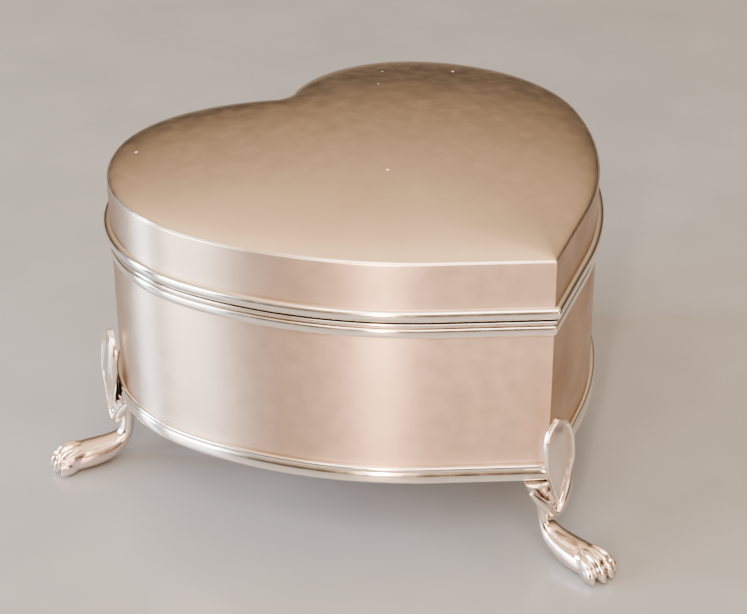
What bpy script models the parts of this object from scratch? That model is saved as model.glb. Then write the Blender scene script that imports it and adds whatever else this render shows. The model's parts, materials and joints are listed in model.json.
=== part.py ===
"""Heart-shaped trinket box with a hinged domed lid and three paw feet.

Metres, +Z up. The heart's point faces -Y, its cleft and the hinge face +Y.
Z = 0 is the surface that the feet stand on, and X = Y = 0 is the middle of the
footprint. The box is symmetric about the plane X = 0.
"""
import math

import bmesh
import bpy
from mathutils import Vector

# Heart outline of the outer wall face
BOX_WIDTH = 0.0860            # across both lobes
LOBE_RADIUS = 0.0305          # outer shoulder of each lobe
LOBE_TURN = math.radians(52)  # angle at which the shoulder hands over to the crown
CROWN_RADIUS = 0.0215         # rear crown of each lobe
CLEFT_RADIUS = 0.0035         # fillet in the cleft between the lobes
CLEFT_STEEPEST = math.radians(150)  # crowns turn no further; a straight run leads on to the cleft
POINT_REACH = 0.0535          # shoulder centres forward to the heart's point
POINT_HALF_ANGLE = math.radians(56)
POINT_STRAIGHT = 0.0178       # straight run on each side of the point
FLANK_STEPS = 6
SHOULDER_STEPS = 11
CROWN_STEPS = 8
CLEFT_STEPS = 4

# Heights of the stacked body and lid
FOOT_LIFT = 0.0139            # table to the underside of the base moulding
MOULDING_HEIGHT = 0.0030
BODY_HEIGHT = 0.0262          # underside of the moulding to the top of the wall
LOWER_REED_HEIGHT = 0.0017
UPPER_REED_HEIGHT = 0.0007
BEAD_HEIGHT = 0.0022
LID_WALL_HEIGHT = 0.0062
LID_RIM_HEIGHT = 0.0008       # upright edge of the domed panel
DOME_RISE = 0.0042
DOME_POWER = 0.62             # lower values give a flatter crown and fuller shoulders
DOME_BLEND = 1.7              # how soon the rings turn from heart to round
DOME_CENTRE_Y = -0.0035       # from the shoulder centres
DOME_RINGS = 7

# Sheet and wire sizes
WALL = 0.0008
BASE_THICKNESS = 0.0010
BASE_RECESS = 0.0010          # base plate above the underside of the moulding
MOULDING_PROJECTION = 0.0009
MOULDING_INSET = 0.0015
REED_PROJECTION = 0.0005
BEAD_PROJECTION = 0.0012
WIRE_STEPS = 5
COLLAR_THICKNESS = 0.0006
COLLAR_HEIGHT = 0.0070
COLLAR_STAND = 0.0019         # collar above the joint line
SHEET_SHARP = math.radians(30)  # edges sharper than this stay crisp on sheet and wire
CAST_SHARP = math.radians(40)   # and on castings

# Gap between touching pieces, and running clearance of the pin
GAP = 0.0003
PIN_CLEARANCE = 0.00015

# Hinge
KNUCKLE_RADIUS = 0.0017
PIN_RADIUS = 0.0008
PIN_HEAD_RADIUS = 0.0013
PIN_CROWN_RADIUS = 0.0009     # flat end of each riveted head
PIN_HEAD_LENGTH = 0.0006
BARREL_LENGTH = 0.0280
KNUCKLE_COUNT = 5
HINGE_PLATE_WIDTH = 0.0210
BODY_PLATE_THICKNESS = 0.0021
LID_PLATE_THICKNESS = 0.0018
PLATE_STEPS = 8
ROUND_STEPS = 24

# Feet
REAR_FOOT_ANGLE = math.radians(24)  # rear feet, round the shoulder from its widest point
REAR_FOOT_TURN = math.radians(10)   # and point this much further forward than straight out
FRONT_FOOT_TURN = math.radians(8)   # front foot is soldered on slightly askew, towards +X
FOOT_REACH = 0.0138           # wall to the tip of the paw
FOOT_STEPS = 14
SOLE_SNAP = 0.00002           # points this near the sole plane are taken as on it
PLAQUE_WIDTH = 0.0066
PLAQUE_RIM = 0.0005           # thickness at the plaque's edges
PLAQUE_SWELL = 0.0008         # extra thickness along its middle
PLAQUE_SHOULDER = 0.55        # where the swell breaks, as a share of the half width
PLAQUE_SHOULDER_SWELL = 0.7   # swell there, as a share of the middle's
PLAQUE_TIP_SHARE = 0.50       # share of the plaque's height that narrows to the tip
PLAQUE_TIP_POWER = 0.75
PLAQUE_HEAD_SHARE = 0.30      # share that rounds over at the top
PLAQUE_HEAD_POWER = 0.70
PLAQUE_BLUNT = 0.04           # share cut off each end, so that both ends are narrow edges
PLAQUE_TOP = 0.0120           # above the underside of the moulding
PLAQUE_DROP = 0.0038          # below the underside of the moulding
PLAQUE_STEPS = 12
PLAQUE_STAND = 0.0006         # back of the plaque's top, clear of the wall

# Velvet lining
BOARD_THICKNESS = 0.0010
PAD_THICKNESS = 0.0040
LINING_THICKNESS = 0.0012

# Levels and places that follow from the sizes above
BASE_Z = FOOT_LIFT
WALL_FOOT_Z = BASE_Z + MOULDING_HEIGHT + GAP
WALL_TOP_Z = BASE_Z + BODY_HEIGHT
LOWER_REED_Z = WALL_TOP_Z + GAP
UPPER_REED_Z = LOWER_REED_Z + LOWER_REED_HEIGHT + GAP
RIM_Z = UPPER_REED_Z + UPPER_REED_HEIGHT
BEAD_Z = RIM_Z + GAP
HINGE_Z = RIM_Z + GAP / 2
LID_WALL_Z = BEAD_Z + BEAD_HEIGHT + GAP
LID_RIM_Z = LID_WALL_Z + LID_WALL_HEIGHT + GAP
LID_EDGE_Z = LID_RIM_Z + LID_RIM_HEIGHT
COLLAR_TOP_Z = RIM_Z + COLLAR_STAND
COLLAR_FOOT_Z = COLLAR_TOP_Z - COLLAR_HEIGHT
PLATE_Z = BASE_Z + BASE_RECESS
BOARD_Z = PLATE_Z + BASE_THICKNESS + GAP
PAD_Z = BOARD_Z + BOARD_THICKNESS + GAP
LINING_Z = PAD_Z + PAD_THICKNESS + GAP
LINING_TOP_Z = COLLAR_FOOT_Z - GAP

SHOULDER_X = BOX_WIDTH / 2 - LOBE_RADIUS
CROWN = Vector((SHOULDER_X + (LOBE_RADIUS - CROWN_RADIUS) * math.cos(LOBE_TURN),
                (LOBE_RADIUS - CROWN_RADIUS) * math.sin(LOBE_TURN)))
CROWN_TO_CLEFT = CROWN_RADIUS + CLEFT_RADIUS
CROWN_END = math.acos(max(-CROWN.x / CROWN_TO_CLEFT, math.cos(CLEFT_STEEPEST)))
CLEFT_RUN = (CROWN.x + CROWN_TO_CLEFT * math.cos(CROWN_END)) / math.sin(CROWN_END)
CLEFT = Vector((0.0, CROWN.y + CROWN_TO_CLEFT * math.sin(CROWN_END)
                + CLEFT_RUN * math.cos(CROWN_END)))
HINGE_Y = CROWN.y + CROWN_RADIUS + BEAD_PROJECTION + GAP + KNUCKLE_RADIUS

# Foot sections from hip to toe: share of reach, share of lift, half depth, half width, lean
FOOT_SECTIONS = (
    (-0.06, 0.00, 0.0026, 0.0043, 0),
    (-0.05, 0.14, 0.0022, 0.0033, 0),
    (-0.03, 0.28, 0.0017, 0.0023, 0),
    (-0.02, 0.42, 0.0014, 0.0018, 4),
    (0.00, 0.56, 0.0014, 0.0017, 16),
    (0.07, 0.68, 0.0016, 0.0020, 38),
    (0.19, 0.76, 0.0020, 0.0025, 60),
    (0.36, 0.81, 0.0023, 0.0030, 80),
    (0.56, 0.83, 0.0025, 0.0033, 88),
    (0.76, 0.84, 0.0025, 0.0034, 92),
    (0.91, 0.86, 0.0021, 0.0031, 96),
    (1.00, 0.88, 0.0012, 0.0022, 100),
)
ORIGIN_Y = (POINT_REACH + FOOT_REACH * math.cos(FRONT_FOOT_TURN) - HINGE_Y - KNUCKLE_RADIUS) / 2


def material(name, colour, metallic, roughness):
    """Plain Principled material."""
    made = bpy.data.materials.new(name)
    made.use_nodes = True
    shader = made.node_tree.nodes["Principled BSDF"]
    shader.inputs["Base Color"].default_value = (*colour, 1.0)
    shader.inputs["Metallic"].default_value = metallic
    shader.inputs["Roughness"].default_value = roughness
    return made


def arc(centre, radius, start, end, steps):
    """Points of an arc after its start point, up to and including its end point."""
    return [centre + radius * Vector((math.cos(a), math.sin(a)))
            for a in (start + (end - start) * i / steps for i in range(1, steps + 1))]


def cleft_curve(offset):
    """Fillet in the cleft, led in by a straight run where the lobes stand far apart."""
    radius = CLEFT_RADIUS - offset
    start = CROWN_END - math.pi
    curve = arc(CLEFT, radius, start, -math.pi / 2, CLEFT_STEPS)
    if CLEFT_RUN > GAP:
        curve.insert(0, CLEFT + radius * Vector((math.cos(start), math.sin(start))))
    return curve


def heart(offset):
    """Heart outline, counter-clockwise from the point, grown outwards by offset."""
    shoulder = Vector((SHOULDER_X, 0.0))
    run = Vector((math.sin(POINT_HALF_ANGLE), math.cos(POINT_HALF_ANGLE)))
    inward = Vector((-run.y, run.x))
    corner = Vector((0.0, -POINT_REACH)) + run * POINT_STRAIGHT
    to_corner = corner - shoulder
    flank_radius = ((LOBE_RADIUS ** 2 - to_corner.length_squared)
                    / (2 * (inward.dot(to_corner) + LOBE_RADIUS)))
    flank = corner + flank_radius * inward
    tangent = shoulder - flank
    flank_start = math.atan2(-inward.y, -inward.x)
    flank_end = math.atan2(tangent.y, tangent.x)
    points = [Vector((0.0, -POINT_REACH - offset / math.sin(POINT_HALF_ANGLE)))]
    points.append(corner - inward * offset)
    points += arc(flank, flank_radius + offset, flank_start, flank_end, FLANK_STEPS)
    points += arc(shoulder, LOBE_RADIUS + offset, flank_end, LOBE_TURN, SHOULDER_STEPS)
    points += arc(CROWN, CROWN_RADIUS + offset, LOBE_TURN, CROWN_END, CROWN_STEPS)
    points += cleft_curve(offset)
    mirrored = [Vector((-p.x, p.y)) for p in reversed(points[1:-1])]
    points[-1].x = 0.0
    return [Vector((p.x, p.y + ORIGIN_Y)) for p in points + mirrored]


def finish_mesh(name, bm, finish):
    """Turns a bmesh into an object with outward faces and smooth round sides."""
    bmesh.ops.recalc_face_normals(bm, faces=bm.faces)
    mesh = bpy.data.meshes.new(name)
    bm.to_mesh(mesh)
    bm.free()
    mesh.materials.append(finish)
    mesh.shade_smooth()
    mesh.set_sharp_from_angle(angle=SHEET_SHARP)
    return add_object(name, mesh)


def add_object(name, mesh, parent=None):
    """Links a mesh into the scene as a named object."""
    made = bpy.data.objects.new(name, mesh)
    made.parent = parent
    bpy.context.collection.objects.link(made)
    return made


def add_empty(name, place, turn=0.0):
    """Adds an empty that carries other objects."""
    made = bpy.data.objects.new(name, None)
    made.location = place
    made.rotation_euler = (0.0, 0.0, turn)
    bpy.context.collection.objects.link(made)
    return made


def hang(piece, parent):
    """Parents a piece modelled in world places to an empty, keeping it where it is."""
    piece.parent = parent
    piece.location = -parent.location
    return piece


def bridge(bm, loops, closed):
    """Joins loops of equal length with quads, around the whole stack if closed."""
    pairs = list(zip(loops, loops[1:]))
    if closed:
        pairs.append((loops[-1], loops[0]))
    for low, high in pairs:
        for i in range(len(low)):
            j = (i + 1) % len(low)
            bm.faces.new((low[i], low[j], high[j], high[i]))


def heart_sweep(name, profile, finish):
    """Sweeps a closed profile of (offset, height) points round the heart."""
    bm = bmesh.new()
    loops = [[bm.verts.new((p.x, p.y, z)) for p in heart(offset)] for offset, z in profile]
    bridge(bm, loops, closed=True)
    return finish_mesh(name, bm, finish)


def heart_slab(name, offset, low_z, high_z, finish):
    """Solid heart-shaped slab."""
    bm = bmesh.new()
    loops = [[bm.verts.new((p.x, p.y, z)) for p in heart(offset)] for z in (low_z, high_z)]
    bridge(bm, loops, closed=False)
    for loop in loops:
        bm.faces.new(loop)
    return finish_mesh(name, bm, finish)


def band(outer, inner, low_z, high_z):
    """Rectangular profile between two offsets."""
    return [(outer, low_z), (outer, high_z), (inner, high_z), (inner, low_z)]


def wire(projection, inner, low_z, height):
    """Half-round profile that stands proud of the wall by its projection."""
    points = [(inner, low_z)]
    for i in range(WIRE_STEPS + 1):
        a = -math.pi / 2 + math.pi * i / WIRE_STEPS
        points.append((projection * math.cos(a), low_z + height / 2 * (1 + math.sin(a))))
    points.append((inner, low_z + height))
    return points


def dome_loops(bm, drop):
    """Rings of the domed panel from its edge to just before its centre."""
    centre = Vector((0.0, DOME_CENTRE_Y + ORIGIN_Y))
    edge = heart(0.0)
    mean = sum((p - centre).length for p in edge) / len(edge)
    loops = []
    for k in range(DOME_RINGS):
        share = math.cos(math.pi / 2 * k / DOME_RINGS)
        blend = share ** DOME_BLEND
        z = LID_EDGE_Z + DOME_RISE * (1 - share ** 2) ** DOME_POWER - drop
        loop = []
        for p in edge:
            arm = p - centre
            length = share * ((1 - blend) * mean + blend * arm.length)
            spot = centre + arm.normalized() * length
            loop.append(bm.verts.new((spot.x, spot.y, z)))
        loops.append(loop)
    top = bm.verts.new((centre.x, centre.y, LID_EDGE_Z + DOME_RISE - drop))
    return loops, top


def lid_top(finish):
    """Domed panel with a short upright edge, as one closed shell."""
    bm = bmesh.new()
    upper, crown = dome_loops(bm, 0.0)
    lower, crown_below = dome_loops(bm, LID_RIM_HEIGHT)
    for loops, centre in ((upper, crown), (lower, crown_below)):
        bridge(bm, loops, closed=False)
        last = loops[-1]
        for i in range(len(last)):
            bm.faces.new((last[i], last[(i + 1) % len(last)], centre))
    bridge(bm, [upper[0], lower[0]], closed=False)
    return finish_mesh("lid_top", bm, finish)


def lid_shell(silver, hinge):
    """Domed panel, wall and bead of the lid, carried by the hinge."""
    hang(lid_top(silver), hinge)
    wall = band(0.0, -WALL, LID_WALL_Z, LID_WALL_Z + LID_WALL_HEIGHT)
    hang(heart_sweep("lid_wall", wall, silver), hinge)
    bead = wire(BEAD_PROJECTION, -WALL, BEAD_Z, BEAD_HEIGHT)
    hang(heart_sweep("lid_bead", bead, silver), hinge)


def body_shell(silver):
    """Wall, base, moulding, reeded rim and inner collar of the body."""
    heart_sweep("body_wall", band(0.0, -WALL, WALL_FOOT_Z, WALL_TOP_Z), silver)
    outer = MOULDING_PROJECTION
    lip = MOULDING_PROJECTION / 2
    moulding = [(-MOULDING_INSET, BASE_Z), (outer, BASE_Z),
                (outer, BASE_Z + MOULDING_HEIGHT - lip), (outer - lip, BASE_Z + MOULDING_HEIGHT),
                (-MOULDING_INSET, BASE_Z + MOULDING_HEIGHT)]
    heart_sweep("base_moulding", moulding, silver)
    heart_slab("base_plate", -MOULDING_INSET - GAP, PLATE_Z, PLATE_Z + BASE_THICKNESS, silver)
    lower = wire(REED_PROJECTION, -WALL, LOWER_REED_Z, LOWER_REED_HEIGHT)
    heart_sweep("rim_reed_lower", lower, silver)
    upper = wire(REED_PROJECTION, -WALL, UPPER_REED_Z, UPPER_REED_HEIGHT)
    heart_sweep("rim_reed_upper", upper, silver)
    face = -WALL - GAP
    collar = band(face, face - COLLAR_THICKNESS, COLLAR_FOOT_Z, COLLAR_TOP_Z)
    heart_sweep("rim_collar", collar, silver)


def lining(velvet, card):
    """Card board, velvet pad and velvet wall lining inside the body."""
    board_offset = -MOULDING_INSET - GAP
    heart_slab("pad_board", board_offset, BOARD_Z, BOARD_Z + BOARD_THICKNESS, card)
    pad_offset = -WALL - GAP - LINING_THICKNESS
    heart_slab("base_pad", pad_offset, PAD_Z, PAD_Z + PAD_THICKNESS, velvet)
    face = -WALL - GAP
    strip = band(face, face - LINING_THICKNESS, LINING_Z, LINING_TOP_Z)
    heart_sweep("wall_lining", strip, velvet)


def hinge_plate(name, clear, low_z, high_z, finish):
    """Plate that fills the cleft up to the hinge barrel, clear of the heart by an offset."""
    half = HINGE_PLATE_WIDTH / 2
    rear = HINGE_Y - KNUCKLE_RADIUS - GAP
    reach = CROWN_RADIUS + clear
    start = math.acos((half - CROWN.x) / reach)
    curve = [CROWN + reach * Vector((math.cos(start), math.sin(start)))]
    curve += arc(CROWN, reach, start, CROWN_END, PLATE_STEPS)
    curve += cleft_curve(clear)
    points = [Vector((half, rear))] + [Vector((-half, rear))]
    points += [Vector((-p.x, p.y)) for p in curve[:-1]] + curve[::-1]
    bm = bmesh.new()
    loops = [[bm.verts.new((p.x, p.y + ORIGIN_Y, z)) for p in points] for z in (low_z, high_z)]
    bridge(bm, loops, closed=False)
    for loop in loops:
        bm.faces.new(loop)
    return finish_mesh(name, bm, finish)


def turned(name, profile, closed, finish):
    """Turns (x, radius) points about the hinge axis, with X along the axis."""
    bm = bmesh.new()
    loops = []
    for x, radius in profile:
        ring = [(x, radius * math.cos(a), radius * math.sin(a))
                for a in (2 * math.pi * i / ROUND_STEPS for i in range(ROUND_STEPS))]
        loops.append([bm.verts.new(p) for p in ring])
    bridge(bm, loops, closed)
    if not closed:
        bm.faces.new(loops[0])
        bm.faces.new(loops[-1])
    return finish_mesh(name, bm, finish)


def hinge_barrel(silver, steel, body, lid):
    """Five knuckles on one pin, shared between body and lid."""
    length = (BARREL_LENGTH - (KNUCKLE_COUNT - 1) * GAP) / KNUCKLE_COUNT
    bore = PIN_RADIUS + PIN_CLEARANCE
    owners = (("body_knuckle_left", body), ("lid_knuckle_left", lid),
              ("body_knuckle_centre", body), ("lid_knuckle_right", lid),
              ("body_knuckle_right", body))
    for i, (name, owner) in enumerate(owners):
        start = -BARREL_LENGTH / 2 + i * (length + GAP)
        profile = [(start, bore), (start, KNUCKLE_RADIUS),
                   (start + length, KNUCKLE_RADIUS), (start + length, bore)]
        turned(name, profile, True, silver).parent = owner
    end = BARREL_LENGTH / 2 + GAP
    cap = end + PIN_HEAD_LENGTH
    pin = [(-cap, PIN_CROWN_RADIUS), (-end, PIN_HEAD_RADIUS), (-end, PIN_RADIUS),
           (end, PIN_RADIUS), (end, PIN_HEAD_RADIUS), (cap, PIN_CROWN_RADIUS)]
    turned("hinge_pin", pin, False, steel).parent = body


def cast_mesh(name, bm, finish):
    """Turns a bmesh into a mesh that several pieces share."""
    bmesh.ops.recalc_face_normals(bm, faces=bm.faces)
    mesh = bpy.data.meshes.new(name)
    bm.to_mesh(mesh)
    bm.free()
    mesh.materials.append(finish)
    mesh.shade_smooth()
    mesh.set_sharp_from_angle(angle=CAST_SHARP)
    return mesh


def foot_mesh(finish):
    """Leg and paw lofted through oval sections and cut flat under the sole."""
    bm = bmesh.new()
    loops = []
    for reach, drop, depth, width, lean in reversed(FOOT_SECTIONS):
        along = Vector((0.0, math.cos(math.radians(lean)), -math.sin(math.radians(lean))))
        middle = Vector((0.0, -reach * FOOT_REACH, -GAP - drop * (FOOT_LIFT - GAP)))
        loop = []
        for i in range(FOOT_STEPS):
            a = 2 * math.pi * i / FOOT_STEPS
            across = Vector((width * math.cos(a), 0.0, 0.0))
            loop.append(bm.verts.new(middle + across - along * depth * math.sin(a)))
        loops.append(loop)
    bridge(bm, loops, closed=False)
    bm.faces.new(loops[0])
    bm.faces.new(loops[-1])
    cut = bmesh.ops.bisect_plane(bm, geom=bm.verts[:] + bm.edges[:] + bm.faces[:], dist=SOLE_SNAP,
                                 plane_co=(0.0, 0.0, -FOOT_LIFT), plane_no=(0.0, 0.0, -1.0),
                                 clear_outer=True)
    edges = [e for e in cut["geom_cut"] if isinstance(e, bmesh.types.BMEdge)]
    bmesh.ops.contextual_create(bm, geom=edges)
    return cast_mesh("foot", bm, finish)


def plaque_taper(share):
    """Width of the lancet plaque at a share of its height, as a share of its full width."""
    tip = min(1.0, share / PLAQUE_TIP_SHARE)
    head = min(1.0, (1.0 - share) / PLAQUE_HEAD_SHARE)
    return tip ** PLAQUE_TIP_POWER * (1.0 - (1.0 - head) ** 2) ** PLAQUE_HEAD_POWER


def plaque_mesh(finish):
    """Lancet plaque with a swelling front, leaning out from the wall to clear the moulding."""
    skew = PLAQUE_WIDTH / 2 * math.sin(REAR_FOOT_TURN)
    stand = MOULDING_PROJECTION / math.sin(POINT_HALF_ANGLE) + GAP + skew
    top_stand = PLAQUE_STAND + skew
    bend = MOULDING_HEIGHT + GAP
    bm = bmesh.new()
    loops = []
    for i in range(PLAQUE_STEPS + 1):
        share = PLAQUE_BLUNT + (1.0 - 2 * PLAQUE_BLUNT) * i / PLAQUE_STEPS
        z = -PLAQUE_DROP + (PLAQUE_TOP + PLAQUE_DROP) * share
        taper = plaque_taper(share)
        half = PLAQUE_WIDTH / 2 * taper
        lean = min(max((z - bend) / (PLAQUE_TOP - bend), 0.0), 1.0)
        back = stand + (top_stand - stand) * lean
        front = back + PLAQUE_RIM
        shoulder = front + PLAQUE_SWELL * taper * PLAQUE_SHOULDER_SWELL
        section = ((-half, back), (half, back), (half, front), (half * PLAQUE_SHOULDER, shoulder),
                   (0.0, front + PLAQUE_SWELL * taper), (-half * PLAQUE_SHOULDER, shoulder),
                   (-half, front))
        loops.append([bm.verts.new((x, -y, z)) for x, y in section])
    bridge(bm, loops, closed=False)
    bm.faces.new(loops[0])
    bm.faces.new(loops[-1])
    return cast_mesh("plaque", bm, finish)


def feet(silver):
    """Three alike feet: one under the point, one under each shoulder."""
    leg, plaque = foot_mesh(silver), plaque_mesh(silver)
    reach = Vector((math.cos(REAR_FOOT_ANGLE), math.sin(REAR_FOOT_ANGLE))) * LOBE_RADIUS
    turn = math.pi / 2 + REAR_FOOT_ANGLE - REAR_FOOT_TURN
    spots = (("front", Vector((0.0, -POINT_REACH)), FRONT_FOOT_TURN),
             ("left", Vector((-SHOULDER_X - reach.x, reach.y)), -turn),
             ("right", Vector((SHOULDER_X + reach.x, reach.y)), turn))
    for side, spot, angle in spots:
        frame = add_empty(side + "_foot_frame", (spot.x, spot.y + ORIGIN_Y, BASE_Z), angle)
        add_object(side + "_foot", leg, frame)
        add_object(side + "_plaque", plaque, frame)


def build():
    for old in list(bpy.data.objects):
        bpy.data.objects.remove(old, do_unlink=True)
    silver = material("silver", (0.82, 0.78, 0.73), 1.0, 0.18)
    steel = material("hinge_steel", (0.60, 0.59, 0.57), 1.0, 0.3)
    velvet = material("velvet", (0.05, 0.07, 0.22), 0.0, 0.95)
    card = material("card", (0.45, 0.36, 0.26), 0.0, 0.9)
    axis = (0.0, HINGE_Y + ORIGIN_Y, HINGE_Z)
    lid_hinge = add_empty("lid_hinge_axis", axis)
    body_hinge = add_empty("body_hinge_axis", axis)
    body_shell(silver)
    lining(velvet, card)
    lid_shell(silver, lid_hinge)
    hinge_barrel(silver, steel, body_hinge, lid_hinge)
    body_top = RIM_Z - GAP
    hinge_plate("body_hinge_plate", REED_PROJECTION + GAP, body_top - BODY_PLATE_THICKNESS,
                body_top, silver)
    lid_low = BEAD_Z + GAP
    lid_plate = hinge_plate("lid_hinge_plate", BEAD_PROJECTION + GAP, lid_low,
                            lid_low + LID_PLATE_THICKNESS, silver)
    hang(lid_plate, lid_hinge)
    feet(silver)


build()
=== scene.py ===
import json
import math

import bmesh
import bpy
from mathutils import Matrix, Vector

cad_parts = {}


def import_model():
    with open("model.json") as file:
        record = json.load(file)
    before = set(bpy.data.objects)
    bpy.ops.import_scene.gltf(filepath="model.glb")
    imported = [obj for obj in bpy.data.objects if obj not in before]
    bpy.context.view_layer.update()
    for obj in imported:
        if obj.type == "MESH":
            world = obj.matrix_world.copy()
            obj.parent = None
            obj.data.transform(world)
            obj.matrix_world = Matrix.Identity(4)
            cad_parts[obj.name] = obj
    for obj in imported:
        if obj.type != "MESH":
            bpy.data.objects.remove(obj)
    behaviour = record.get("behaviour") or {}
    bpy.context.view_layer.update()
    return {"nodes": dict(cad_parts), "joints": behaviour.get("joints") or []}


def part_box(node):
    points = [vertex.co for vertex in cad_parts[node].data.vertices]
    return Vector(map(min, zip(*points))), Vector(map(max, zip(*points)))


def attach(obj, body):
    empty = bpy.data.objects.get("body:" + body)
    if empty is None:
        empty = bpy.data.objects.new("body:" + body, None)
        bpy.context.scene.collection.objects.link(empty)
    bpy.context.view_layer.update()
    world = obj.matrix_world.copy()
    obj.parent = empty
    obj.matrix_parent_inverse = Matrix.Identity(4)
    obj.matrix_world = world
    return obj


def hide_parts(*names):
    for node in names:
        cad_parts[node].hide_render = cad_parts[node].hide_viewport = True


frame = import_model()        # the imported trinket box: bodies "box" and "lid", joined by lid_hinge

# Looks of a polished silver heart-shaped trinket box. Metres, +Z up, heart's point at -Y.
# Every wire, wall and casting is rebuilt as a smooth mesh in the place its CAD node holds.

# Heart outline of the outer wall face, as the CAD draws it
BOX_WIDTH = 0.0860
LOBE_RADIUS = 0.0305
LOBE_TURN = math.radians(52)
CROWN_RADIUS = 0.0215
CLEFT_RADIUS = 0.0035
POINT_REACH = 0.0535
POINT_HALF_ANGLE = math.radians(56)
POINT_STRAIGHT = 0.0178
NOSE_RADIUS = 0.00022
NOSE_STEPS = 6
STRAIGHT_STEPS = 12
FLANK_STEPS = 40
SHOULDER_STEPS = 56
CROWN_STEPS = 44
CLEFT_STEPS = 14

# Lid
UPRIGHT_LIMIT = 0.2           # faces whose normal rises less than this count as upright
WALL = 0.0008
LAP = 0.0002                  # how far a wall reaches into the wire soldered round its foot
LID_WALL_STEPS = 6
EDGE_ROUND = 0.00036          # filed edge between lid wall and dome
EDGE_STEPS = 5
EDGE_TURN = 0.72              # share of a quarter turn before the dome takes over
DOME_RISE = 0.0042
DOME_POWER = 0.62             # fullness of the dome: less is fuller near the edge
DOME_BLEND = 1.7              # how soon the rings turn from the heart to a circle
DOME_CENTRE_Y = -0.0035
DOME_NOSE = 0.0180            # the dome's rings round off at the heart's point, up to this radius
DOME_NOSE_GROWTH = 0.0900
DOME_RINGS = 60
DOME_UNDER_RINGS = 24
DOME_THICKNESS = 0.0008

# Wires and sheet of the body
MOULDING_PROJECTION = 0.0009
MOULDING_INSET = 0.0015
MOULDING_BEVEL = 0.0002
MOULDING_HEEL = 0.0004        # rounding of the lower outer edge
MOULDING_NECK = 0.00006       # the band draws in by this much under the lip
LIP_RADIUS = 0.00055
HALF_ROUND_POWER = 0.8        # below 1, a wire is fuller than a true half round
REED_PROJECTION = 0.0005
BEAD_PROJECTION = 0.0012
MOULDING_NOSE = 0.0004        # radius of each wire where it turns the heart's point
REED_NOSE = 0.0003
BEAD_NOSE = 0.0005
WALL_EDGE = 0.00012
COLLAR_FACE = 0.0011          # outer face of the collar and the lining, inside the wall's outer face
COLLAR_THICKNESS = 0.0006
COLLAR_EDGE = 0.00025
TOUCH = 0.00002               # hair of space between soldered pieces

# Hinge
KNUCKLE_RADIUS = 0.0017
KNUCKLE_STEPS = 64
KNUCKLE_BEVEL = 0.00015
PIN_RADIUS = 0.0008
PIN_CLEARANCE = 0.0001
PIN_HEAD_STEPS = 6
STRAP_THICKNESS = 0.0007
STRAP_REACH = 0.0006          # how far the strap goes past its knuckle, towards the plate
PLATE_EDGE = 0.00015

# Lining
LINING_THICKNESS = 0.0012
LINING_EDGE = 0.00045
LINING_NOSE = 0.0006
BOARD_GAP = 0.0003

# Velvet pad, and the cloth simulation that swells it
PAD_TUCK = 0.0008             # how far the sides tuck in at top and foot
PAD_SIDE = 0.38               # half the height of the bulging side, as a share of the pad's height
PAD_SIDE_TURN = math.radians(80)
PAD_SIDE_STEPS = 12
PAD_NOSE = 0.002
PAD_CROWN_DROP = 0.6          # room left over the crown for the swelling, in tucks
PAD_CROWN_POWER = 2.4
PAD_RINGS = 40
CLOTH_SCALE = 10.0            # the solver is steadier on a form of furniture size
CLOTH_VOXEL = 0.0011
CLOTH_PRESSURE = 4.0
CLOTH_STEPS = 20
CLOTH_QUALITY = 6
CLOTH_CAP = 0.0010            # no point of the pad moves further than this

# Feet
REAR_FOOT_ANGLE = math.radians(24)
REAR_FOOT_TURN = math.radians(10)
FRONT_FOOT_TURN = math.radians(8)
FOOT_REACH = 0.0138
FOOT_GAP = 0.0003
LEAF_WIDTH = 0.0066
LEAF_TOP = 0.0120
LEAF_DROP = 0.0038
LEAF_STAND = 0.0006
LEAF_BACK = 0.00055           # thickness at the leaf's edge
LEAF_RIM = 0.00034            # rim above the face
LEAF_RIM_WIDTH = 0.00060
LEAF_SWELL = 0.00050          # face at its middle
LEAF_RIM_POWER = 0.7          # below 1, the rim's crest is broad
LEAF_RIM_START = 0.00008      # the rim already stands this far up its curve at the very edge
LEAF_SEAT = 0.00085           # rib behind the leaf that meets the moulding
LEAF_SEAT_FADE = 0.0016
LEAF_SEAT_WIDTH = 0.35        # share of the half width
LEAF_END = 0.003              # share of the height left off at the tip and the top
LEAF_TIP_SHARE = 0.50         # share of the height that narrows to the tip
LEAF_TOP_SHARE = 0.30         # share of the height that rounds over at the top

# Levels and places read from the frame
SHOULDER_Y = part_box("body_wall")[0][1] + POINT_REACH
moulding_low, moulding_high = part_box("base_moulding")
BASE_Z = moulding_low[2]
MOULDING_TOP_Z = moulding_high[2]
RIM_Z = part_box("rim_reed_upper")[1][2]
bead_low, bead_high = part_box("lid_bead")
LID_EDGE_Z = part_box("lid_top")[1][2] - DOME_RISE
HINGE = Vector(frame["joints"][0]["pos_m"])

SHOULDER_X = BOX_WIDTH / 2 - LOBE_RADIUS
CROWN = Vector((SHOULDER_X + (LOBE_RADIUS - CROWN_RADIUS) * math.cos(LOBE_TURN),
                (LOBE_RADIUS - CROWN_RADIUS) * math.sin(LOBE_TURN)))
CLEFT = Vector((0.0, CROWN.y + math.sqrt((CROWN_RADIUS + CLEFT_RADIUS) ** 2 - CROWN.x ** 2)))


# ---------------------------------------------------------------- geometry

def arc(centre, radius, start, end, steps):
    """Points of an arc after its start point, up to and including its end point."""
    return [centre + radius * Vector((math.cos(a), math.sin(a)))
            for a in (start + (end - start) * i / steps for i in range(1, steps + 1))]


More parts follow.
